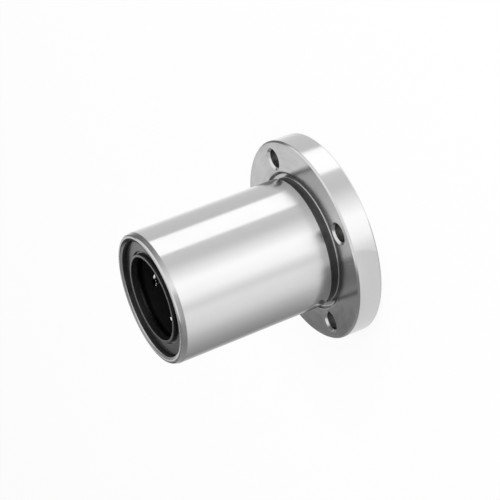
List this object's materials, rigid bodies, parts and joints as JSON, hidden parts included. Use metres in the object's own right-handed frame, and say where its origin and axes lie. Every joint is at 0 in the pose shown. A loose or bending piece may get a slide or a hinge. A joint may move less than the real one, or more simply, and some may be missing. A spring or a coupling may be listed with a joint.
{
  "type": "flanged linear ball bearing",
  "caption": "Round-flanged linear ball bearing: a long ground sleeve with a bolt flange, recirculating ball rows and a lipped seal at each end of the shaft bore.",
  "frame": {"origin": "centre of the bore in the flange's outer face, which the bearing stands on", "axes": "+Z along the bore axis towards the sleeve's free end, +X and +Y each through a bolt hole"},
  "size_m": [0.062, 0.062, 0.059],
  "materials": {
    "bearing_steel": "ground and polished bearing steel",
    "ball_steel": "lapped chrome steel",
    "spring_steel": "dark tempered spring steel",
    "retainer_plastic": "moulded black plastic",
    "seal_rubber": "moulded nitrile rubber"
  },
  "bodies": {
    "root": {"outer_sleeve": "bearing_steel", "ball_retainer": "retainer_plastic", "flange_end_spring_ring": "spring_steel", "free_end_spring_ring": "spring_steel", "flange_end_seal": "seal_rubber", "free_end_seal": "seal_rubber", "loaded_balls_1": "ball_steel", "loaded_balls_2": "ball_steel", "loaded_balls_3": "ball_steel", "loaded_balls_4": "ball_steel", "loaded_balls_5": "ball_steel", "loaded_balls_6": "ball_steel", "return_balls_1": "ball_steel", "return_balls_2": "ball_steel", "return_balls_3": "ball_steel", "return_balls_4": "ball_steel", "return_balls_5": "ball_steel", "return_balls_6": "ball_steel", "turn_balls_1": "ball_steel", "turn_balls_2": "ball_steel", "turn_balls_3": "ball_steel", "turn_balls_4": "ball_steel", "turn_balls_5": "ball_steel", "turn_balls_6": "ball_steel"}
  },
  "joints": []
}
